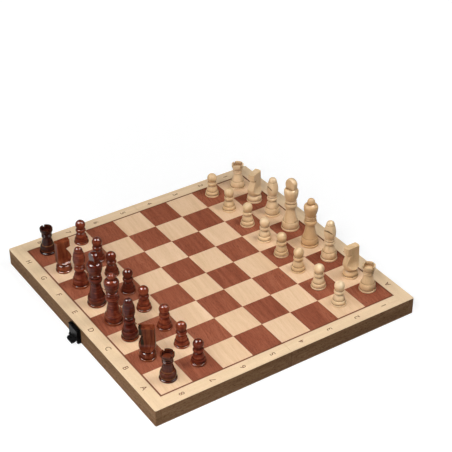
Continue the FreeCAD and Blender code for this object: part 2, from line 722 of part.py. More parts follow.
def plate_screws(name, screw_up):
    screws = []
    for turn in ("-", ""):
        across = f"{turn}plate_screw_pitch / 2"
        shank = round_bar(f"{name}Shank", "Cylinder", ALONG_X, (f"{OUTER} - screw_long", across, screw_up),
                          {"Radius": "screw_r"}, "screw_long + plate_thick")
        head = round_bar(f"{name}Head", "Cone", ALONG_X, (f"{OUTER} + plate_thick", across, screw_up),
                         {"Radius1": "screw_head_r", "Radius2": "screw_r"}, "screw_head_high")
        screws.append(join(f"{name}Screw", "MultiFuse", [shank, head]))
    return join(name, "Compound", screws)


def clasp_strike():
    body = plate("ClaspStrike", "strike_low", "strike_tall")
    lip = new_sketch(body, "ClaspStrikeLip", "YZ_Plane", OUTER)
    draw_box(lip, "-hook_wide / 2 - 1.5 * plate_round", LIP_LOW, "hook_wide / 2 + 1.5 * plate_round", LIP_TOP)
    pad(body, lip, "lip_out")
    cut_plate_holes(body, "strike_screw_up")
    return body


def clasp_base():
    body = plate("ClaspBase", "base_low", "base_tall")
    across, up = LEVER_AXIS
    for side, low in (("Near", "-clasp_wide / 2"), ("Far", "clasp_wide / 2 - plate_thick")):
        # The sketch's normal points to -Y, so its level is the far face's Y with the sign turned
        ear = new_sketch(body, f"ClaspEar{side}", "XZ_Plane", f"-({low}) - plate_thick")
        draw_outline(
            ear,
            (f"{OUTER} + plate_thick / 2", f"{up} - ear_r"),
            [
                (across, f"{up} - ear_r"),
                (f"{across} + ear_r", up, across, f"{up} + ear_r"),
                (f"{OUTER} + plate_thick / 2", f"{up} + 3 * ear_r"),
            ],
        )
        draw_circle(ear, across, up, "rivet_r + running_fit")
        pad(body, ear, "plate_thick")
    cut_plate_holes(body, "base_screw_up")
    return body


def clasp_rivets():
    across, up = LEVER_AXIS
    rivets = []
    shank_long = "plate_thick + side_gap + lever_thick"
    for side, head_start, shank_start in (
        ("Near", "-clasp_wide / 2", f"-clasp_wide / 2 + {shank_long}"),
        ("Far", "clasp_wide / 2 + rivet_head_high", "clasp_wide / 2"),
    ):
        shank = round_bar(f"RivetShank{side}", "Cylinder", ALONG_Y, (across, shank_start, up),
                          {"Radius": "rivet_r"}, shank_long)
        head = round_bar(f"RivetHead{side}", "Cylinder", ALONG_Y, (across, head_start, up),
                         {"Radius": "rivet_head_r"}, "rivet_head_high")
        rivets.append(join(f"Rivet{side}", "MultiFuse", [shank, head]))
    return join("ClaspRivets", "Compound", rivets)


def clasp_lever():
    """A pressed box: two deep cheeks on the pivots, a cover with a flared finger tip and a closed end."""
    body = new_body("ClaspLever")
    across, up = LEVER_AXIS
    cover_in = f"({OUTER} + lever_out - lever_thick)"
    cover_out = f"({OUTER} + lever_out)"
    flare_low = "lever_tall - 1.5 * lip_flare"
    side = new_sketch(body, "ClaspLeverSide", "XZ_Plane")
    draw_outline(
        side,
        (f"{across} + ear_r", up),
        [
            (cover_out, "cover_low"),
            (cover_out, flare_low),
            (f"{cover_out} + lip_flare", "lever_tall - lever_thick / 2"),
            (f"{cover_out} + lip_flare - lever_thick", "lever_tall"),
            (cover_in, f"{flare_low} + lever_thick"),
            (LEVER_BACK, f"{flare_low} + lever_thick"),
            (LEVER_BACK, "hook_pin_up - hook_eye_r / 2"),
            (f"{across} - ear_r", up),
            (across, f"{up} - ear_r", f"{across} + ear_r", up),
        ],
    )
    pad(body, side, LEVER_WIDE, both_ways=True)
    inside = new_sketch(body, "ClaspLeverInside", "XZ_Plane")
    beyond = f"{cover_out} + lever_out"
    draw_outline(
        inside,
        (OUTER, "-lever_tall"),
        [
            (beyond, "-lever_tall"),
            (beyond, "cover_low"),
            (cover_in, "cover_low"),
            (cover_in, flare_low),
            (OUTER, flare_low),
        ],
    )
    pocket(body, inside, f"{LEVER_WIDE} - 2 * lever_thick", both_ways=True)
    holes = new_sketch(body, "ClaspLeverHoles", "XZ_Plane")
    draw_circle(holes, across, up, "rivet_r + running_fit")
    draw_circle(holes, HOOK_AXIS[0], HOOK_AXIS[1], "hook_pin_r + running_fit")
    pocket(body, holes, "clasp_wide", both_ways=True)
    return body


def clasp_hook():
    """A sheet hook on two trunnions, drawn hooked on and then swung out to where it rests."""
    body = new_body("ClaspHook")
    across, up = HOOK_AXIS
    outside = f"({across} + hook_thick / 2)"
    inside = f"({across} - hook_thick / 2)"
    blade = new_sketch(body, "ClaspHookBlade", "XZ_Plane")
    draw_outline(
        blade,
        (inside, up),
        [
            (inside, f"-{CATCH_DEPTH}"),
            (f"{OUTER} + plate_thick + catch_gap", f"-{CATCH_DEPTH}"),
            (f"{OUTER} + plate_thick + catch_gap", f"-{CATCH_DEPTH} - hook_thick"),
            (outside, f"-{CATCH_DEPTH} - hook_thick"),
            (outside, up),
        ],
    )
    pad(body, blade, "hook_wide", both_ways=True)
    eye = new_sketch(body, "ClaspHookEye", "XZ_Plane")
    draw_circle(eye, across, up, "hook_eye_r")
    pad(body, eye, "hook_wide", both_ways=True)
    trunnions = new_sketch(body, "ClaspHookTrunnions", "XZ_Plane")
    draw_circle(trunnions, across, up, "hook_pin_r")
    pad(body, trunnions, LEVER_WIDE, both_ways=True)
    round_hook_corners(body)
    pivot = FreeCAD.Vector(value(across), 0, value(up))
    swing = FreeCAD.Rotation(FreeCAD.Vector(0, 1, 0), HOOK_REST_TURN)
    body.Placement = FreeCAD.Placement(FreeCAD.Vector(), swing, pivot)
    return body


def round_hook_corners(body):
    low = f"(-{CATCH_DEPTH} - hook_thick)"
    for side, turn in (("Near", "-"), ("Far", "")):
        edge = f"({turn}hook_wide / 2)"
        run = f"({turn}hook_round)"
        corner = new_sketch(body, f"ClaspHookCorner{side}", "YZ_Plane", OUTER)
        draw_outline(
            corner,
            (edge, f"{low} + hook_round"),
            [
                (f"{edge} - {run} * (1 - sqrt(0.5))", f"{low} + hook_round * (1 - sqrt(0.5))",
                 f"{edge} - {run}", low),
                (edge, low),
            ],
        )
        pocket(body, corner, "2 * lever_out", both_ways=True)


# Chessmen, each modelled about its own upright axis and facing +X


class Turning:
    """A lathe profile, built upwards from the foot."""

    def __init__(self):
        self.radius = "0"
        self.height = "0"
        self.steps = []

    def step(self, radius):
        """A flat step to another radius, if it differs."""
        if not near(value(radius), value(self.radius)):
            self.steps.append((radius, self.height))
        self.radius = radius

    def rise(self, radius, high, bulge=None):
        """A run up to another radius, straight or swelling by a bulge at half height."""
        top = f"{self.height} + {high}"
        middle = (f"(({self.radius}) + ({radius})) / 2 + {bulge}", f"{self.height} + ({high}) / 2")
        self.steps.append((radius, top) if bulge is None else middle + (radius, top))
        self.radius, self.height = radius, top

    def roll(self, radius, high):
        """A rounded collar."""
        self.step(f"{radius} - roll_depth")
        self.rise(f"{radius} - roll_depth", high, "roll_depth")

    def ball(self, radius):
        """A ball on the current neck, which closes the profile at the axis."""
        centre = f"{self.height} + sqrt(({radius})^2 - ({self.radius})^2)"
        self.steps.append((radius, centre, "0", f"{centre} + {radius}"))

    def dome(self, high):
        """A round top that leaves the current radius upright."""
        reach = f"({self.radius}) * sqrt(0.5)"
        lift = f"{self.height} + ({high}) * sqrt(0.5)"
        self.steps.append((reach, lift, "0", f"{self.height} + {high}"))

    def foot(self, kind):
        """The foot disc that every piece stands on."""
        edge = f"{kind}_foot_r - turn_step"
        self.step(edge)
        self.rise(edge, f"{kind}_foot_high", "turn_step")
        self.step(f"{edge} - turn_step")

    def body(self, kind):
        """Foot, bell and stem, which all but the knight share."""
        self.foot(kind)
        self.rise(f"{kind}_shoulder_r", f"{kind}_bell_high", "bell_bulge")
        self.step(f"{kind}_shoulder_r - turn_step")
        self.rise(f"{kind}_neck_r", f"{kind}_stem_high", f"{kind}_stem_bulge")
        self.rise(f"{kind}_neck_r", "neck_high")

    def revolve(self, kind):
        body = new_body(kind.capitalize())
        profile = new_sketch(body, f"{body.Name}Profile", "XZ_Plane")
        draw_outline(profile, ("0", "0"), self.steps)
        turned = body.newObject("PartDesign::Revolution", f"{body.Name}Turned")
        turned.Profile = profile
        turned.ReferenceAxis = (profile, ["V_Axis"])
        turned.Angle = 360
        body.Tip = turned
        return body


def pawn():
    lathe = Turning()
    lathe.body("pawn")
    lathe.roll("pawn_collar_r", "pawn_collar_high")
    lathe.step("pawn_throat_r")
    lathe.rise("pawn_throat_r", "pawn_throat_high")
    lathe.ball("pawn_head_r")
    return lathe.revolve("pawn")


def rook():
    lathe = Turning()
    lathe.body("rook")
    lathe.roll("rook_collar_r", "rook_collar_high")
    lathe.roll("rook_ring_r", "rook_ring_high")
    lathe.step("rook_cup_low_r")
    lathe.rise("rook_cup_r", "rook_cup_flare_high", "rook_cup_bulge")
    lathe.rise("rook_cup_r", "rook_cup_wall_high")
    top = lathe.height
    lathe.step("rook_cup_r - rook_cup_wall")
    lathe.rise("rook_cup_r - rook_cup_wall", "(-rook_cup_deep)")
    lathe.step("0")
    body = lathe.revolve("rook")
    notch = new_sketch(body, "RookNotch", "XY_Plane", f"{top} - rook_notch_deep")
    draw_box(notch, "0", "-rook_notch_wide / 2", "rook_cup_r + turn_step", "rook_notch_wide / 2")
    first = pocket(body, notch, "rook_notch_deep")
    ring = body.newObject("PartDesign::PolarPattern", "RookNotches")
    ring.Originals = [first]
    ring.Axis = (notch, ["N_Axis"])
    ring.Angle = 360
    ring.Occurrences = 4
    body.Tip = ring
    return body


def bishop():
    lathe = Turning()
    lathe.body("bishop")
    lathe.roll("bishop_collar_r", "bishop_collar_high")
    lathe.roll("bishop_ring_r", "bishop_ring_high")
    lathe.step("bishop_mitre_low_r")
    lathe.rise("bishop_mitre_r", "bishop_mitre_low_high", "bishop_mitre_bulge")
    widest = lathe.height
    lathe.rise("bishop_tip_r", "bishop_mitre_top_high", "bishop_mitre_bulge")
    lathe.step("bishop_groove_r")
    lathe.rise("bishop_groove_r", "bishop_groove_high")
    lathe.step("bishop_knob_r")
    lathe.dome("bishop_knob_r")
    body = lathe.revolve("bishop")
    slit = new_sketch(body, "BishopSlit", "XZ_Plane")
    outside = "bishop_mitre_r + bishop_slit_wide"
    root = f"{widest} + bishop_slit_up"
    end = f"{root} + (bishop_mitre_r + bishop_slit_wide - bishop_slit_root) * tan(bishop_slit_angle * 1deg)"
    tall = "bishop_slit_wide / cos(bishop_slit_angle * 1deg)"
    draw_outline(
        slit,
        ("bishop_slit_root", root),
        [(outside, end), (outside, f"{end} + {tall}"), ("bishop_slit_root", f"{root} + {tall}")],
    )
    pocket(body, slit, "4 * bishop_mitre_r", both_ways=True)
    return body


def queen():
    lathe = Turning()
    lathe.body("queen")
    lathe.roll("queen_collar_r", "queen_collar_high")
    lathe.roll("queen_ring_r", "queen_ring_high")
    lathe.roll("queen_ring_r", "queen_ring_high")
    lathe.step("queen_crown_low_r")
    lathe.rise("queen_crown_r", "queen_crown_low_high", "queen_crown_bulge")
    lathe.rise("queen_tip_r", "queen_crown_top_high", "queen_brow_bulge")
    lathe.ball("queen_ball_r")
    return lathe.revolve("queen")


def king():
    lathe = Turning()
    lathe.body("king")
    lathe.roll("king_collar_r", "king_collar_high")
    lathe.roll("king_ring_r", "king_ring_high")
    lathe.step("king_crown_low_r")
    lathe.rise("king_crown_r", "king_crown_low_high", "king_crown_bulge")
    lathe.rise("king_finial_low_r", "king_crown_top_high", "king_brow_bulge")
    brow = lathe.height
    lathe.rise("king_finial_r", "king_finial_low_high", "king_finial_bulge")
    lathe.dome("king_finial_r")
    body = lathe.revolve("king")
    flats = new_sketch(body, "KingFlats", "XZ_Plane")
    top = f"{brow} + king_finial_low_high + 2 * king_finial_r"
    for side in ("-", ""):
        face, beyond = f"{side}king_finial_thick / 2", f"{side}king_crown_r * 2"
        draw_box(flats, face, brow, beyond, top)
    pocket(body, flats, "4 * king_crown_r", both_ways=True)
    return body


def knight():
    """A turned blank, sawn flat on both sides and sawn out under the nose."""
    lathe = Turning()
    lathe.foot("knight")
    lathe.rise("knight_dome_r", "knight_dome_high", "knight_dome_bulge")
    seat = lathe.height
    lathe.step("knight_seat_r")
    lathe.rise("knight_chest_r", "knight_chest_high", "knight_chest_bulge")
    chest = lathe.height
    lathe.rise("knight_poll_r", "knight_head_high - knight_chest_high")
    top = lathe.height
    lathe.step("0")
    body = lathe.revolve("knight")
    saw_knight_flats(body, seat, top)
    saw_knight_throat(body, seat, chest, top)
    return body


def saw_knight_flats(body, seat, top):
    """Two upright flats that run out hollow on the chest."""
    over = f"{top} + turn_step"
    begin = f"{seat} + knight_scoop_top"
    end = f"{seat} + knight_scoop_low"
    flats = new_sketch(body, "KnightFlats", "YZ_Plane")
    for side in ("-", ""):
        face = f"{side}(knight_head_thick / 2)"
        skirt = f"{side}(knight_chest_r)"
        hollow = f"{side}((knight_head_thick / 2 + knight_chest_r) / 2 - knight_scoop_hollow)"
        run_out = (hollow, f"({begin} + {end}) / 2", skirt, end)
        beyond = f"{side}(2 * knight_chest_r)"
        draw_outline(flats, (face, over), [(face, begin), run_out, (beyond, end), (beyond, over)])
    pocket(body, flats, "4 * knight_chest_r", both_ways=True)


def saw_knight_throat(body, seat, chest, top):
    """The rounded cut from the chest up to the throat and out along the underside of the nose."""
    throat = f"{seat} + knight_throat_high"
    lip = f"{top} - knight_nose_tall"
    ahead = "2 * knight_chest_r"
    slope = ("(knight_chest_r + knight_throat_ahead) / 2 + knight_chest_bulge", f"({chest} + {throat}) / 2")
    opening = new_sketch(body, "KnightThroat", "XZ_Plane")
    draw_outline(
        opening,
        ("knight_chest_r", chest),
        [slope + ("knight_throat_ahead", throat), ("knight_poll_r", lip), (ahead, lip), (ahead, chest)],
    )
    pocket(body, opening, "4 * knight_chest_r", both_ways=True)


def stand_pieces():
    """Sets the thirty-two pieces on their squares at the start of a game."""
    masters = {kind: make() for kind, make in
               (("pawn", pawn), ("rook", rook), ("knight", knight),
                ("bishop", bishop), ("queen", queen), ("king", king))}
    for colour, edge, facing in (("white", 1, 180.0), ("black", -1, 0.0)):
        for column, kind in enumerate(RANK_PIECES):
            single = kind in ("queen", "king")
            label = f"{colour}_{kind}" if single else f"{colour}_{kind}_{FILES[column]}"
            along = column - 3.5
            stand_piece(masters[kind], label, (edge * 3.5, along), STANDING[colour, "rank"][column], facing)
            pawn_label = f"{colour}_pawn_{FILES[column]}"
            pawn_shift = STANDING[colour, "pawns"][column]
            stand_piece(masters["pawn"], pawn_label, (edge * 2.5, along), pawn_shift, facing)


def stand_piece(master, label, squares_out, shift, facing):
    """Links a piece to its square, a little off the middle and turned as it stands."""
    piece = doc.addObject("App::Link", label)
    piece.LinkedObject = master
    turn = facing + TURNED_PIECES.get(label, 0.0)
    piece.Placement.Rotation = FreeCAD.Rotation(FreeCAD.Vector(0, 0, 1), turn)
    places = [f"{count} * square + {off}" for count, off in zip(squares_out, shift)] + ["box_depth"]
    for axis, text in zip("xyz", places):
        piece.setExpression(f".Placement.Base.{axis}", bound(text))
    keep(piece, label)


# Assembly

keep_both(hinge_rail(), "hinge_rail")
keep(latch_rail("WhiteLatchRail", "strike_screw_up"), "white_latch_rail")
keep_on_black(latch_rail("BlackLatchRail", "base_screw_up"), "black_latch_rail")
keep_both(end_rails(), "end_rails")
keep_both(core_panel(), "core_panel")
keep_both(squares("LightSquares", dark=False), "light_squares")
keep_both(squares("DarkSquares", dark=True), "dark_squares")
keep_both(frame_strips("InlayLine", FIELD, f"({FIELD} + line_wide)", rounded=False), "inlay_line")
keep_both(frame_strips("BorderVeneer", f"({FIELD} + line_wide)", OUTER, rounded=True), "border_veneer")
keep(hinge_leaves("WhiteLeaves", OUTER_KNUCKLES), "white_hinge_leaves")
keep_on_black(hinge_leaves("BlackLeaves", MIDDLE_KNUCKLE), "black_hinge_leaves")
keep_both(hinge_screws(), "hinge_screws")
keep(hinge_pins(), "hinge_pins")
keep(clasp_strike(), "clasp_strike")
keep(plate_screws("StrikeScrews", "strike_screw_up"), "strike_screws")
keep_on_black(clasp_base(), "clasp_base")
keep_on_black(plate_screws("BaseScrews", "base_screw_up"), "base_screws")
keep_on_black(clasp_rivets(), "clasp_rivets")
keep_on_black(clasp_lever(), "clasp_lever")
keep_on_black(clasp_hook(), "clasp_hook")
stand_pieces()
doc.recompute()

for item in doc.Objects:
    if "Invalid" in item.State or "Error" in item.State:
        raise RuntimeError(f"{item.Label} failed to build: {item.State}")
for node in nodes:
    shape = Part.getShape(node)
    if shape.isNull() or not shape.isValid():
        raise RuntimeError(f"{node.Label} has no valid shape")

os.makedirs("parts", exist_ok=True)
for node in nodes:
    Part.getShape(node).exportStep(f"parts/{node.Label}.step")
print(f"{len(nodes)} nodes written")
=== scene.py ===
"""Looks of a folding wooden chess box, laid open as a board with its thirty-two men set up."""
import math
from collections import namedtuple

import bmesh
import bpy
from mathutils import Matrix, Vector


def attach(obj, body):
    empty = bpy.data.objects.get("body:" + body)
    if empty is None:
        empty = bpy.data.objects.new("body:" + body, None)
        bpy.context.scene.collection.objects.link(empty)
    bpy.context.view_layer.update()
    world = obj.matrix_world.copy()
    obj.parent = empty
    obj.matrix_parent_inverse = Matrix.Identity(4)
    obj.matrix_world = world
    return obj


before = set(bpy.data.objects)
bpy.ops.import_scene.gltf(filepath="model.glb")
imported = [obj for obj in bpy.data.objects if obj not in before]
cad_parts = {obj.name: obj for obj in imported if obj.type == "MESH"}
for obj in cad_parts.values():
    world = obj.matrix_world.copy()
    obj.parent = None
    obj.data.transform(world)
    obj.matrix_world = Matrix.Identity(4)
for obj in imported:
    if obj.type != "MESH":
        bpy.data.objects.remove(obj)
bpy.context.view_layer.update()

# Sizes of the board and its marks, in millimetres
MM = 0.001
SQUARE = 40.0
BOARD_TOP = 22.5
BORDER_MIDDLE = 170.25
FIELD_EDGE = 161.5
LINE_STAINED = 0.4
LETTER_SIZE = 9.6
LETTER_RISE = 0.04
FILES = "ABCDEFGH"
RANKS = 8
# Which way the marks stand, in degrees: their tops towards the black or the white player
QUARTER_TURN = 90
UP_TO_BLACK = QUARTER_TURN
UP_TO_WHITE = -QUARTER_TURN

ALONG_X = (1.0, 0.0, 0.0)
ALONG_Y = (0.0, 1.0, 0.0)
UPWARD = (0.0, 0.0, 1.0)

# A kind of wood: lengths in mm of its clouds, fibres and spots along X, Y and Z, the warp of the clouds,
# the range of noise that makes a spot, the shares of clouds and fibres in the tone, the places of the
# three tones on that scale, the depth of the relief in mm, and the smoothest and roughest surface
Wood = namedtuple(
    "Wood",
    "clouds cloud_warp fibres spots spot_range cloud_share fibre_share stops relief roughness",
)
VENEER = Wood(
    clouds=(7, 90, 9),
    cloud_warp=0.6,
    fibres=(0.9, 24, 0.9),
    spots=(0.45, 6, 0.45),
    spot_range=(0.56, 0.68),
    cloud_share=0.5,
    fibre_share=0.45,
    stops=(0.3, 0.53, 0.78),
    relief=0.02,
    roughness=(0.38, 0.5),
)
STRIP = Wood(
    clouds=(7, 130, 7),
    cloud_warp=0.5,
    fibres=(0.8, 26, 0.8),
    spots=(0.55, 3.4, 0.55),
    spot_range=(0.54, 0.68),
    cloud_share=0.5,
    fibre_share=0.5,
    stops=(0.32, 0.5, 0.68),
    relief=0.03,
    roughness=(0.42, 0.56),
)
PALE_MAN = Wood(
    clouds=(5, 5, 46),
    cloud_warp=0.4,
    fibres=(0.6, 0.6, 9),
    spots=(0.4, 0.4, 2.4),
    spot_range=(0.6, 0.72),
    cloud_share=0.4,
    fibre_share=0.3,
    stops=(0.3, 0.55, 0.85),
    relief=0.012,
    roughness=(0.26, 0.34),
)
CLOUD_DETAIL = 2.0
FIBRE_DETAIL = 4.0
FIBRE_BREAK = 0.6
SPOT_DETAIL = 1.0
# The range of noise that the roughness of a surface follows
NOISE_RANGE = (0.3, 0.7)

# Squares: share of the single square in its tone, turn of its grain in degrees, shift of its grain in mm
SQUARE_SHARE = 0.13
GRAIN_TURN = (5, 11)
GRAIN_SHIFT = 700.0
# Strength of the pores of the squares, and of the flecks of the other flat wood
MAPLE_PORES = 0.25
MAHOGANY_PORES = 0.5
BORDER_FLECKS = 0.22
WALL_FLECKS = 0.65
CORE_FLECKS = 0.3
INLAY_FLECKS = 0.4
# Rails: how squarely a face lies across the grain to darken, and how much it then does
CUT_ACROSS = (0.8, 0.95)
CUT_DARKNESS = 0.15
# Strength of the stain that the inlay line leaves on the border
STAIN_STRENGTH = 0.9

# Men: shift of their grain in mm, so that no two share it
MAN_SHIFT = 500.0
# White men: seed of their shades, share of the single man in its tone, strength of spots and of the shade
# painted in grooves, how much they reflect, and lengths in mm of the marks left by turning
PALE_SEED = 3.5
PALE_SHARE = 0.4
PALE_SPOT_DEPTH = 0.25
PALE_SHADE_DEPTH = 0.95
PALE_SPECULAR = 0.09
LATHE_MARKS = (60, 60, 0.35)

# Black men: seed of their shades, share of the single man in its tone, lengths in mm and shares of clouds,
# growth rings and fibres, shade painted in grooves, relief in mm, roughness, and how much they reflect
DARK_SEED = 7.5
DARK_SHARE = 0.35
DARK_CLOUDS = (4, 4, 40)
DARK_CLOUD_DETAIL = 3.0
DARK_CLOUD_WARP = 0.5
DARK_RINGS = (16, 16, 2.4)
DARK_RING_WARP = 0.3
DARK_FIBRES = (0.6, 0.6, 8)
DARK_GRAIN_SHARE = 0.8
DARK_FIBRE_SHARE = 0.2
DARK_STOPS = (0.45, 0.7, 0.95)
DARK_SHADE_DEPTH = 0.85
DARK_RELIEF = 0.01
DARK_ROUGHNESS = (0.08, 0.15)
DARK_SPECULAR = 0.22
# Share of the growth rings in the tone of turned and of sawn men, and wear of their edges
TURNED_RINGS = 0.5
SAWN_RINGS = 0.1
TURNED_WEAR = 0.5
DARKEST_WEAR = 0.1
SAWN_WEAR = 0.35
# Rings round a man where the stain is rubbed off: lowest and highest point in mm over the rim, and strength
RING_SOFT = 0.6
FOOT_RING = ((23.6, 26.4, 0.5),)
ROOK_RINGS = ((26.4, 27.7, 0.9), (33.8, 35.3, 0.8))
# Bark down one edge of a knight's head, across and upward: direction, then nearest and farthest place,
# softness and waver in mm
BARK_STREAK = ((-0.836, 0.549, -0.125), 62.5, 66.3, 0.9, 3.0)
BARK_HEIGHTS = (UPWARD, 42.0, 70.0, 3.0)
WAVER_MARKS = (2, 2, 7)
WAVER_DETAIL = 3.0

# Painted shade in grooves, and worn edges: how far in mm the surface near by counts, and how open the
# deepest and the shallowest of them are
PALE_GROOVE_SHADE = (5.0, 0.4, 1.0)
DARK_GROOVE_SHADE = (2.5, 0.45, 0.9)
WORN_EDGES = (1.2, 0.5, 0.9)
RUBBED_EDGES = (0.3, 0.4, 0.8)
OPENNESS_SAMPLES = 8

# Metal: width and length in mm of the brush marks, and lengths and break of the tarnish
BRUSH_WIDE = 0.15
BRUSH_LONG = 6
BRUSH_DETAIL = 3.0
BRUSH_RELIEF = 0.01
TARNISH = (5, 5, 5)
TARNISH_BREAK = 0.65
TARNISH_STOPS = (0.35, 0.65)
BRASS_ROUGHNESS = (0.24, 0.38)
STEEL_ROUGHNESS = (0.26, 0.4)
# Lacquer of the clasp
LACQUER_CLOUDS = (3, 3, 3)
LACQUER_STOPS = (0.3, 0.7)
LACQUER_TONES = ((0.0015, 0.0015, 0.0015), (0.004, 0.0035, 0.0035))
LACQUER_RUBBED = (0.06, 0.055, 0.05)
LACQUER_RUBBED_RANGE = (0.4, 0.65)
LACQUER_RUBBED_DEPTH = 0.3
LACQUER_ROUGHNESS = (0.24, 0.36)
LACQUER_RELIEF = 0.02
LACQUER_SPECULAR = 0.05

# Tones from dark to light
MAPLE = ((0.70, 0.465, 0.275), (0.79, 0.545, 0.345), (0.86, 0.62, 0.42))
PALE_MAPLE = ((0.745, 0.545, 0.345), (0.80, 0.60, 0.385), (0.86, 0.66, 0.44))
MAHOGANY = ((0.205, 0.052, 0.026), (0.30, 0.087, 0.045), (0.40, 0.132, 0.07))
BEECH = ((0.22, 0.12, 0.058), (0.325, 0.18, 0.092), (0.44, 0.255, 0.14))
BIRCH = ((0.52, 0.37, 0.22), (0.62, 0.46, 0.29), (0.70, 0.54, 0.36))
WALNUT = ((0.13, 0.030, 0.010), (0.18, 0.045, 0.016), (0.25, 0.070, 0.028))
IVORY = ((0.58, 0.36, 0.17), (0.76, 0.53, 0.30), (0.88, 0.67, 0.43))
PALEST = ((0.64, 0.42, 0.21), (0.84, 0.605, 0.355), (0.93, 0.72, 0.47))
TAN = ((0.46, 0.25, 0.10), (0.60, 0.36, 0.165), (0.72, 0.47, 0.25))
STAIN = ((0.020, 0.0028, 0.0015), (0.095, 0.013, 0.006), (0.31, 0.064, 0.025))
EBONY = ((0.010, 0.002, 0.0015), (0.042, 0.007, 0.0035), (0.14, 0.030, 0.012))
CHERRY = ((0.034, 0.0045, 0.002), (0.145, 0.022, 0.009), (0.40, 0.095, 0.038))
SAWN_STAIN = ((0.10, 0.019, 0.008), (0.29, 0.070, 0.027), (0.45, 0.135, 0.055))
BRASS = ((0.46, 0.29, 0.09), (0.70, 0.47, 0.17))
STEEL = ((0.34, 0.33, 0.32), (0.55, 0.54, 0.52))
# Tones of pores, flecks, the white men's spots and painted groove shade, worn edges and bark
MAPLE_FLECK = (0.56, 0.34, 0.18)
MAHOGANY_PORE = (0.09, 0.024, 0.014)
BEECH_FLECK = (0.10, 0.046, 0.022)
BIRCH_FLECK = (0.40, 0.25, 0.13)
WALNUT_FLECK = (0.05, 0.012, 0.005)
LINE_STAIN = (0.18, 0.045, 0.016)
PALE_SPOT_AND_SHADE = (0.30, 0.14, 0.05)
STAIN_EDGE = (0.36, 0.10, 0.03)
TAN_EDGE = (0.42, 0.16, 0.065)
BARK = (0.02, 0.012, 0.006)
# How much the flat wood reflects: satin veneers, matt walls, core and inlay
SATIN = 0.03
MATT = 0.012
CORE_SPECULAR = 0.2
INLAY_SPECULAR = 0.1

# Lamps: name, place and diameter in metres, level, and whether it only glints in gloss
LEFT_LAMP = (-0.787, 0.278, 1.185)
RIGHT_LAMP = (0.296, -0.247, 0.807)
WINDOW = (-0.50, -0.39, 0.63)
LAMPS = (
    ("left_lamp", LEFT_LAMP, 0.3, 0.20, False),
    ("right_lamp", RIGHT_LAMP, 0.3, 0.35, False),
    ("window_light", WINDOW, 0.5, 0.40, False),
    ("left_glint", LEFT_LAMP, 0.8, 3.3, True),
    ("right_glint", RIGHT_LAMP, 0.5, 3.7, True),
)
# The world where it lights, where it is seen overhead, and the heights between which it darkens
WORLD_LIGHT = (0.05, 0.05, 0.05, 1)
WORLD_OVERHEAD = 0.02
HORIZON = (0.02, 0.1)
# The floor's own tone, and its glow near the board and far from it, at these distances in metres
FLOOR_GREY = (0.32, 0.32, 0.32, 1)
GLOW_DISTANCE = (0.2, 0.8)
GLOW = (0.74, 0.95)
FLOOR_HALF = 6.0

# The camera looks down over the nearest corner of the board: angles in degrees, place and lens in mm
CAMERA_TURN = -33.29
CAMERA_RISE = 34.44
CAMERA_ROLL = -0.17
CAMERA_PLACE = (24.4, 57.1, 1587.2)
CAMERA_LENS = 103.55

# Sockets of a mixing node, which has a set of them for each kind of value
MIX_FACTOR = 0
VECTOR_UNDER = 4
VECTOR_OVER = 5
VECTOR_MIXED = 1
COLOUR_UNDER = 6
COLOUR_OVER = 7
COLOUR_MIXED = 2


class Nodes:
    """The shading nodes of a material or a world, with none at first."""

    def __init__(self, owner):
        owner.use_nodes = True
        self.tree = owner.node_tree
        self.tree.nodes.clear()

    def add(self, kind, inputs=None, **settings):
        """A node with its settings made, and its inputs set or linked."""
        node = self.tree.nodes.new("ShaderNode" + kind)
        for name, value in settings.items():
            setattr(node, name, value)
        for name, value in (inputs or {}).items():
            if isinstance(value, bpy.types.NodeSocket):
                self.tree.links.new(value, node.inputs[name])
            else:
                node.inputs[name].default_value = value
        return node

    def math(self, operation, *values):
        """The result of a sum on one, two or three numbers."""
        return self.add("Math", dict(enumerate(values)), operation=operation).outputs[0]

    def between(self, value, low, high, to_low=0.0, to_high=1.0, kind="SMOOTHSTEP"):
        """The value brought from one range to another, smoothly or evenly, and held at its ends."""
        inputs = {
            "Value": value,
            "From Min": low,
            "From Max": high,
            "To Min": to_low,
            "To Max": to_high,
        }
        return self.add("MapRange", inputs, interpolation_type=kind).outputs[0]

    def background_rays(self):
        """One for the rays that show the background: those of the camera, of gloss and of glass."""
        paths = self.add("LightPath").outputs
        gloss = self.math("MAXIMUM", paths["Is Camera Ray"], paths["Is Glossy Ray"])
        return self.math("MAXIMUM", gloss, paths["Is Transmission Ray"])


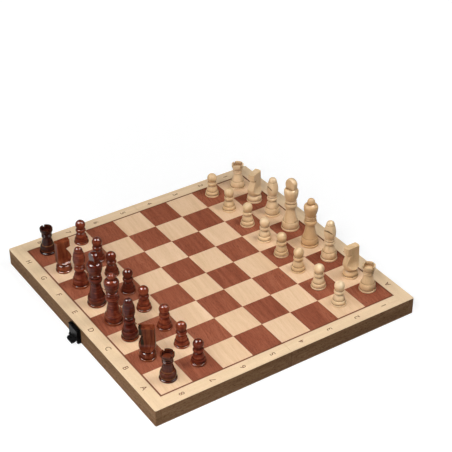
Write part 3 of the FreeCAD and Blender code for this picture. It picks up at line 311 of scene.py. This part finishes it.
class Finish(Nodes):
    """A material whose colour, gloss and relief are worked out from the place on the part, in mm."""

    def __init__(self, name):
        self.material = bpy.data.materials.new(name)
        super().__init__(self.material)
        coordinates = self.add("TexCoord")
        self.normal = coordinates.outputs["Normal"]
        self.place = self.vector("SCALE", coordinates.outputs["Object"], scale=1 / MM)

    def vector(self, operation, *values, scale=None):
        """The result of a sum on vectors."""
        inputs = dict(enumerate(values))
        if scale is not None:
            inputs["Scale"] = scale
        return self.add("VectorMath", inputs, operation=operation).outputs[0]

    def reach(self, value, axis):
        """How far a vector reaches along a direction."""
        return self.add("VectorMath", {0: value, 1: axis}, operation="DOT_PRODUCT").outputs["Value"]

    def total(self, first, *others):
        """The sum of values, each times its share."""
        result = self.math("MULTIPLY", *first)
        for value, share in others:
            result = self.math("MULTIPLY_ADD", value, share, result)
        return result

    def noise(self, place, lengths, detail=CLOUD_DETAIL, roughness=0.5, distortion=0.0):
        """A cloudy value near one half, with features of about these lengths along X, Y and Z."""
        inputs = {
            "Vector": self.vector("DIVIDE", place, lengths),
            "Scale": 1.0,
            "Detail": detail,
            "Roughness": roughness,
            "Distortion": distortion,
        }
        return self.add("TexNoise", inputs).outputs[0]

    def grain(self, place, wood):
        """The clouds, fibres and spots of a kind of wood."""
        clouds = self.noise(place, wood.clouds, distortion=wood.cloud_warp)
        fibres = self.noise(place, wood.fibres, FIBRE_DETAIL, FIBRE_BREAK)
        spots = self.between(self.noise(place, wood.spots, SPOT_DETAIL), *wood.spot_range)
        return clouds, fibres, spots

    def gloss(self, noise, bounds):
        """A roughness within bounds that follows a noise."""
        return self.between(noise, *NOISE_RANGE, *bounds)

    def ramp(self, value, places, tones):
        """A colour read off a row of tones, each at its place."""
        node = self.add("ValToRGB", {"Fac": value})
        elements = node.color_ramp.elements
        while len(elements) < len(tones):
            elements.new(0.5)
        for element, place, tone in zip(elements, places, tones):
            element.position = place
            element.color = (*tone, 1.0)
        return node.outputs[0]

    def blend(self, factor, under, over):
        """A tone laid over a colour by a factor."""
        inputs = {MIX_FACTOR: factor, COLOUR_UNDER: under, COLOUR_OVER: (*over, 1.0)}
        return self.add("Mix", inputs, data_type="RGBA").outputs[COLOUR_MIXED]

    def tile(self, shift=0.0):
        """A number and a colour that differ from one square of the board to the next."""
        cell = self.vector("MULTIPLY_ADD", self.place, (1 / SQUARE, 1 / SQUARE, 0), (0, 0, shift))
        node = self.add("TexWhiteNoise", {"Vector": self.vector("FLOOR", cell)})
        return node.outputs["Value"], node.outputs["Color"]

    def shifted(self, place, colour, length):
        """A place moved by a colour times a length, so that no two pieces share their grain."""
        return self.vector("ADD", place, self.vector("SCALE", colour, scale=length))

    def hollows(self, distance, low, high, inside=False):
        """One in the grooves of a piece, or inside it along its outer edges, and nothing elsewhere."""
        settings = {"samples": OPENNESS_SAMPLES, "only_local": True, "inside": inside}
        node = self.add("AmbientOcclusion", {"Distance": distance * MM}, **settings)
        return self.between(node.outputs["AO"], low, high, 1.0, 0.0)

    def band(self, axis, low, high, soft, waver=0.0):
        """One between two wavering places along a direction, and nothing elsewhere."""
        wave = self.noise(self.place, WAVER_MARKS, WAVER_DETAIL)
        along = self.math("MULTIPLY_ADD", wave, waver, self.reach(self.place, axis))
        rise = self.between(along, low - soft, low + soft)
        return self.math("MULTIPLY", rise, self.between(along, high - soft, high + soft, 1.0, 0.0))

    def done(self, colour, roughness, height, **constants):
        """Links the worked-out colour, roughness and relief to the shader, and sets the constants."""
        bump = self.add("Bump", {"Height": height, "Strength": 1.0, "Distance": MM})
        inputs = {"Base Color": colour, "Roughness": roughness, "Normal": bump.outputs[0]}
        for name, value in constants.items():
            inputs[name.replace("_", " ")] = value
        shader = self.add("BsdfPrincipled", inputs)
        self.add("OutputMaterial", {"Surface": shader.outputs[0]})
        return self.material


def square_veneer(name, tones, pore, pore_depth):
    """Thin wood of the squares, its grain across the board and a little different on each square."""
    finish = Finish(name)
    number, colour = finish.tile()
    least_turn, most_turn = map(math.radians, GRAIN_TURN)
    turn = finish.between(number, 0, 1, least_turn, most_turn)
    turned = finish.add("VectorRotate", {"Vector": finish.place, "Angle": turn}, rotation_type="Z_AXIS")
    place = finish.shifted(turned.outputs[0], colour, GRAIN_SHIFT)
    clouds, fibres, pores = finish.grain(place, VENEER)
    tone = finish.total(
        (clouds, VENEER.cloud_share),
        (number, SQUARE_SHARE),
        (fibres, VENEER.fibre_share),
    )
    plain = finish.ramp(tone, VENEER.stops, tones)
    coloured = finish.blend(finish.math("MULTIPLY", pores, pore_depth), plain, pore)
    height = finish.total((pores, -VENEER.relief), (fibres, VENEER.relief))
    return finish.done(coloured, finish.gloss(fibres, VENEER.roughness), height, Specular_IOR_Level=SATIN)


def strip_grain(finish, place, tones, fleck, fleck_depth):
    """Colour, roughness and relief of flecked wood with its grain along Y."""
    clouds, fibres, flecks = finish.grain(place, STRIP)
    tone = finish.total((clouds, STRIP.cloud_share), (fibres, STRIP.fibre_share))
    plain = finish.ramp(tone, STRIP.stops, tones)
    coloured = finish.blend(finish.math("MULTIPLY", flecks, fleck_depth), plain, fleck)
    height = finish.total((flecks, -STRIP.relief), (fibres, STRIP.relief))
    return coloured, finish.gloss(fibres, STRIP.roughness), height


def strip_wood(name, tones, fleck, fleck_depth, specular, along):
    """Flecked wood with its grain along X or Y, darker where it is cut across."""
    finish = Finish(name)
    place = finish.place
    if along == ALONG_X:
        x, y, z = finish.add("SeparateXYZ", {0: place}).outputs
        place = finish.add("CombineXYZ", {0: y, 1: x, 2: z}).outputs[0]
    flecked, roughness, height = strip_grain(finish, place, tones, fleck, fleck_depth)
    facing = finish.math("ABSOLUTE", finish.reach(finish.normal, along))
    cut = finish.between(facing, *CUT_ACROSS, 0.0, CUT_DARKNESS)
    coloured = finish.blend(cut, flecked, fleck)
    return finish.done(coloured, roughness, height, Specular_IOR_Level=specular)


def border_wood(name, tones, fleck, fleck_depth):
    """Flecked wood with its grain along each strip of the border, stained beside the inlay line."""
    finish = Finish(name)
    x, y, z = finish.add("SeparateXYZ", {0: finish.place}).outputs
    swapped = finish.add("CombineXYZ", {0: y, 1: x, 2: z}).outputs[0]
    far_x = finish.math("ABSOLUTE", x)
    far_y = finish.math("ABSOLUTE", y)
    player_edge = finish.math("GREATER_THAN", far_x, FIELD_EDGE)
    ways = {MIX_FACTOR: player_edge, VECTOR_UNDER: swapped, VECTOR_OVER: finish.place}
    place = finish.add("Mix", ways, data_type="VECTOR").outputs[VECTOR_MIXED]
    flecked, roughness, height = strip_grain(finish, place, tones, fleck, fleck_depth)
    outward = finish.math("MAXIMUM", far_x, far_y)
    stain_start = FIELD_EDGE + LINE_STAINED
    stained = finish.between(outward, stain_start, stain_start + LINE_STAINED, STAIN_STRENGTH, 0.0)
    coloured = finish.blend(stained, flecked, LINE_STAIN)
    return finish.done(coloured, roughness, height, Specular_IOR_Level=SATIN)


def pale_men(name, tones):
    """Turned pale wood, sanded and thinly lacquered, each man its own tint, with shade painted in grooves.
    """
    finish = Finish(name)
    number, colour = finish.tile(PALE_SEED)
    place = finish.shifted(finish.place, colour, MAN_SHIFT)
    clouds, fibres, pores = finish.grain(place, PALE_MAN)
    lathe = finish.noise(place, LATHE_MARKS, SPOT_DETAIL)
    tone = finish.total(
        (clouds, PALE_MAN.cloud_share),
        (number, PALE_SHARE),
        (fibres, PALE_MAN.fibre_share),
    )
    plain = finish.ramp(tone, PALE_MAN.stops, tones)
    flecked = finish.blend(finish.math("MULTIPLY", pores, PALE_SPOT_DEPTH), plain, PALE_SPOT_AND_SHADE)
    # Painted shade: where the surface is enclosed in grooves it is darkened towards the groove tone
    painted_shade = finish.math("MULTIPLY", finish.hollows(*PALE_GROOVE_SHADE), PALE_SHADE_DEPTH)
    coloured = finish.blend(painted_shade, flecked, PALE_SPOT_AND_SHADE)
    height = finish.total((fibres, PALE_MAN.relief), (lathe, PALE_MAN.relief))
    roughness = finish.gloss(fibres, PALE_MAN.roughness)
    return finish.done(coloured, roughness, height, Specular_IOR_Level=PALE_SPECULAR)


def dark_men(name, tones, edge, wear, ringed=TURNED_RINGS, worn_rings=FOOT_RING, streak=None):
    """Turned wood stained dark and lacquered, each man of its own shade, ringed and worn at its edges."""
    finish = Finish(name)
    number, colour = finish.tile(DARK_SEED)
    place = finish.shifted(finish.place, colour, MAN_SHIFT)
    clouds = finish.noise(place, DARK_CLOUDS, DARK_CLOUD_DETAIL, distortion=DARK_CLOUD_WARP)
    rings = finish.noise(place, DARK_RINGS, distortion=DARK_RING_WARP)
    fibres = finish.noise(place, DARK_FIBRES, FIBRE_DETAIL, FIBRE_BREAK)
    tone = finish.total(
        (clouds, DARK_GRAIN_SHARE - ringed),
        (number, DARK_SHARE),
        (rings, ringed),
        (fibres, DARK_FIBRE_SHARE),
    )
    plain = finish.ramp(tone, DARK_STOPS, tones)
    worn = finish.math("MULTIPLY", finish.hollows(*WORN_EDGES, inside=True), wear)
    for low, high, strength in worn_rings:
        ring = finish.math("MULTIPLY", finish.band(UPWARD, low, high, RING_SOFT), clouds)
        worn = finish.math("MAXIMUM", worn, finish.math("MULTIPLY", ring, strength))
    coloured = finish.blend(worn, plain, edge)
    # Painted shade: the darkest tone is laid where the surface is enclosed in grooves
    painted_shade = finish.math("MULTIPLY", finish.hollows(*DARK_GROOVE_SHADE), DARK_SHADE_DEPTH)
    coloured = finish.blend(painted_shade, coloured, tones[0])
    if streak:
        bark = finish.math("MULTIPLY", finish.band(*streak), finish.band(*BARK_HEIGHTS))
        coloured = finish.blend(bark, coloured, BARK)
    height = finish.math("MULTIPLY", rings, DARK_RELIEF)
    roughness = finish.gloss(fibres, DARK_ROUGHNESS)
    return finish.done(coloured, roughness, height, Specular_IOR_Level=DARK_SPECULAR)


def metal(name, tones, roughness, along):
    """Bare metal, brushed along one axis and a little tarnished."""
    finish = Finish(name)
    lengths = [BRUSH_LONG if share else BRUSH_WIDE for share in along]
    brushed = finish.noise(finish.place, lengths, BRUSH_DETAIL)
    tarnish = finish.noise(finish.place, TARNISH, FIBRE_DETAIL, TARNISH_BREAK)
    coloured = finish.ramp(tarnish, TARNISH_STOPS, tones)
    height = finish.math("MULTIPLY", brushed, BRUSH_RELIEF)
    return finish.done(coloured, finish.gloss(brushed, roughness), height, Metallic=1.0)


def black_lacquer(name):
    """Black satin lacquer on steel, dusty in patches and rubbed grey along its edges."""
    finish = Finish(name)
    clouds = finish.noise(finish.place, LACQUER_CLOUDS, FIBRE_DETAIL, TARNISH_BREAK)
    patches = finish.between(clouds, *LACQUER_RUBBED_RANGE)
    rubbed = finish.math("MULTIPLY", finish.hollows(*RUBBED_EDGES, inside=True), patches)
    plain = finish.ramp(clouds, LACQUER_STOPS, LACQUER_TONES)
    coloured = finish.blend(finish.math("MULTIPLY", rubbed, LACQUER_RUBBED_DEPTH), plain, LACQUER_RUBBED)
    height = finish.math("MULTIPLY", clouds, LACQUER_RELIEF)
    roughness = finish.gloss(clouds, LACQUER_ROUGHNESS)
    return finish.done(coloured, roughness, height, Specular_IOR_Level=LACQUER_SPECULAR)


# Finishes of the squares, the border, the walls, the core, the inlay, the fittings and the men
light_squares = square_veneer("maple_squares", MAPLE, MAPLE_FLECK, MAPLE_PORES)
dark_squares = square_veneer("mahogany_squares", MAHOGANY, MAHOGANY_PORE, MAHOGANY_PORES)
border = border_wood("maple_border", PALE_MAPLE, MAPLE_FLECK, BORDER_FLECKS)
walls_along = strip_wood("beech_walls_x", BEECH, BEECH_FLECK, WALL_FLECKS, MATT, ALONG_X)
walls_across = strip_wood("beech_walls_y", BEECH, BEECH_FLECK, WALL_FLECKS, MATT, ALONG_Y)
core = strip_wood("birch_core", BIRCH, BIRCH_FLECK, CORE_FLECKS, CORE_SPECULAR, ALONG_Y)
inlay = strip_wood("walnut_inlay", WALNUT, WALNUT_FLECK, INLAY_FLECKS, INLAY_SPECULAR, ALONG_Y)
brass = metal("hinge_brass", BRASS, BRASS_ROUGHNESS, ALONG_Y)
steel = metal("screw_steel", STEEL, STEEL_ROUGHNESS, ALONG_X)
clasp_black = black_lacquer("clasp_black")
white_wood = pale_men("white_men", IVORY)
palest_wood = pale_men("palest_men", PALEST)
tan_wood = pale_men("tan_men", TAN)
black_wood = dark_men("black_men", STAIN, STAIN_EDGE, TURNED_WEAR)
cherry_wood = dark_men("cherry_men", CHERRY, STAIN_EDGE, TURNED_WEAR)
darkest_wood = dark_men("darkest_men", EBONY, TAN_EDGE, DARKEST_WEAR, worn_rings=ROOK_RINGS)
sawn_wood = dark_men("sawn_men", SAWN_STAIN, STAIN_EDGE, SAWN_WEAR, ringed=SAWN_RINGS)
streaked_wood = dark_men(
    "streaked_men", SAWN_STAIN, STAIN_EDGE, SAWN_WEAR, ringed=SAWN_RINGS, streak=BARK_STREAK
)

SLOT_FINISHES = {
    "wall_wood": walls_across,
    "core_wood": core,
    "light_veneer": light_squares,
    "dark_veneer": dark_squares,
    "border_veneer": border,
    "inlay_wood": inlay,
    "white_men": white_wood,
    "black_men": black_wood,
    "hinge_brass": brass,
    "screw_steel": steel,
    "clasp_black": clasp_black,
    "clasp_screws": clasp_black,
}
NODE_FINISHES = {
    "white_end_rails": walls_along,
    "black_end_rails": walls_along,
    "white_queen": tan_wood,
    "black_rook_a": darkest_wood,
    "black_rook_h": darkest_wood,
    "black_knight_b": streaked_wood,
    "black_knight_g": sawn_wood,
}
for file_name in FILES.lower():
    NODE_FINISHES[f"white_pawn_{file_name}"] = palest_wood
    NODE_FINISHES[f"black_pawn_{file_name}"] = cherry_wood

for node_name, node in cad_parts.items():
    for material_slot in node.material_slots:
        slot_name = material_slot.material.name.split(".")[0]
        material_slot.material = NODE_FINISHES.get(node_name) or SLOT_FINISHES[slot_name]


def glyph(character, x, y, turn):
    """The mesh of one inlaid letter or number, centred at a place on the board's top."""
    curve = bpy.data.curves.new("glyph", "FONT")
    curve.body = character
    curve.size = LETTER_SIZE * MM
    curve.extrude = LETTER_RISE * MM
    curve.align_x = "CENTER"
    curve.align_y = "CENTER"
    text = bpy.data.objects.new("glyph", curve)
    bpy.context.collection.objects.link(text)
    mesh = bpy.data.meshes.new_from_object(text)
    bpy.data.objects.remove(text)
    place = Matrix.Translation(Vector((x, y, BOARD_TOP)) * MM)
    mesh.transform(place @ Matrix.Rotation(math.radians(turn), 4, "Z"))
    return mesh


def inlaid_marks(name, body, glyphs):
    """The letters and numbers of one half, as one piece that rides on it."""
    joined = bmesh.new()
    for character, x, y, turn in glyphs:
        joined.from_mesh(glyph(character, x, y, turn))
    mesh = bpy.data.meshes.new(name)
    joined.to_mesh(mesh)
    joined.free()
    mesh.materials.append(inlay)
    piece = bpy.data.objects.new(name, mesh)
    bpy.context.collection.objects.link(piece)
    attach(piece, body)


white_glyphs = []
black_glyphs = []
for count, letter in enumerate(FILES):
    middle = (count - (RANKS - 1) / 2) * SQUARE
    number = str(RANKS - count)
    white_glyphs.append((letter, BORDER_MIDDLE, middle, UP_TO_BLACK))
    black_glyphs.append((letter, -BORDER_MIDDLE, middle, UP_TO_WHITE))
    half_glyphs = black_glyphs if middle < 0 else white_glyphs
    half_glyphs.append((number, middle, -BORDER_MIDDLE, UP_TO_BLACK))
    half_glyphs.append((number, middle, BORDER_MIDDLE, UP_TO_WHITE))
inlaid_marks("white_half_marks", "white_half", white_glyphs)
inlaid_marks("black_half_marks", "black_half", black_glyphs)


def lamp(name, place, size, level, glint):
    """A round lamp over the board that lights it, or only glints in gloss.

    Its level is its share of full light on the board's middle.
    """
    toward = Vector(place)
    data = bpy.data.lights.new(name, "AREA")
    data.shape = "DISK"
    data.size = size
    data.energy = level * math.pi ** 2 * toward.length ** 3 / toward.z
    lamp_object = bpy.data.objects.new(name, data)
    lamp_object.location = toward
    lamp_object.rotation_euler = toward.to_track_quat("Z", "Y").to_euler()
    lamp_object.visible_diffuse = not glint
    lamp_object.visible_glossy = glint
    bpy.context.collection.objects.link(lamp_object)


for lamp_settings in LAMPS:
    lamp(*lamp_settings)

# The world is white down to the floor and dark overhead where it is seen, and a dim grey where it lights
world = bpy.data.worlds.new("studio")
bpy.context.scene.world = world
nodes = Nodes(world)
dim = nodes.add("Background", {"Color": WORLD_LIGHT})
upward = nodes.add("SeparateXYZ", {0: nodes.add("TexCoord").outputs["Generated"]}).outputs[2]
overhead = nodes.between(upward, *HORIZON, 1.0, WORLD_OVERHEAD, kind="LINEAR")
seen_world = nodes.add("Background", {"Color": overhead})
choices = {0: nodes.background_rays(), 1: dim.outputs[0], 2: seen_world.outputs[0]}
chosen = nodes.add("MixShader", choices)
nodes.add("OutputWorld", {"Surface": chosen.outputs[0]})

# The floor looks white and keeps the shadow, and throws little light back on the walls
floor_material = bpy.data.materials.new("pale_floor")
nodes = Nodes(floor_material)
grey = nodes.add("BsdfDiffuse", {"Color": FLOOR_GREY})
spot = nodes.add("TexCoord").outputs["Object"]
away = nodes.add("VectorMath", {0: spot}, operation="LENGTH").outputs["Value"]
strength = nodes.between(away, *GLOW_DISTANCE, *GLOW, kind="LINEAR")
glow = nodes.add("Emission", {"Strength": strength})
shown = nodes.add("AddShader", {0: grey.outputs[0], 1: glow.outputs[0]})
choices = {0: nodes.background_rays(), 1: grey.outputs[0], 2: shown.outputs[0]}
chosen = nodes.add("MixShader", choices)
nodes.add("OutputMaterial", {"Surface": chosen.outputs[0]})

floor_mesh = bpy.data.meshes.new("floor")
floor_corners = [
    (-FLOOR_HALF, -FLOOR_HALF, 0),
    (FLOOR_HALF, -FLOOR_HALF, 0),
    (FLOOR_HALF, FLOOR_HALF, 0),
    (-FLOOR_HALF, FLOOR_HALF, 0),
]
floor_mesh.from_pydata(floor_corners, [], [(0, 1, 2, 3)])
floor_mesh.materials.append(floor_material)
floor = bpy.data.objects.new("floor", floor_mesh)
bpy.context.collection.objects.link(floor)

camera_data = bpy.data.cameras.new("camera")
camera_data.lens = CAMERA_LENS
camera = bpy.data.objects.new("camera", camera_data)
camera.matrix_world = (
    Matrix.Translation((0, 0, BOARD_TOP * MM))
    @ Matrix.Rotation(math.radians(CAMERA_TURN), 4, "Z")
    @ Matrix.Rotation(math.radians(QUARTER_TURN - CAMERA_RISE), 4, "X")
    @ Matrix.Rotation(math.radians(CAMERA_ROLL), 4, "Z")
    @ Matrix.Translation(Vector(CAMERA_PLACE) * MM)
)
bpy.context.collection.objects.link(camera)
bpy.context.scene.camera = camera
bpy.context.scene.view_settings.view_transform = "Standard"
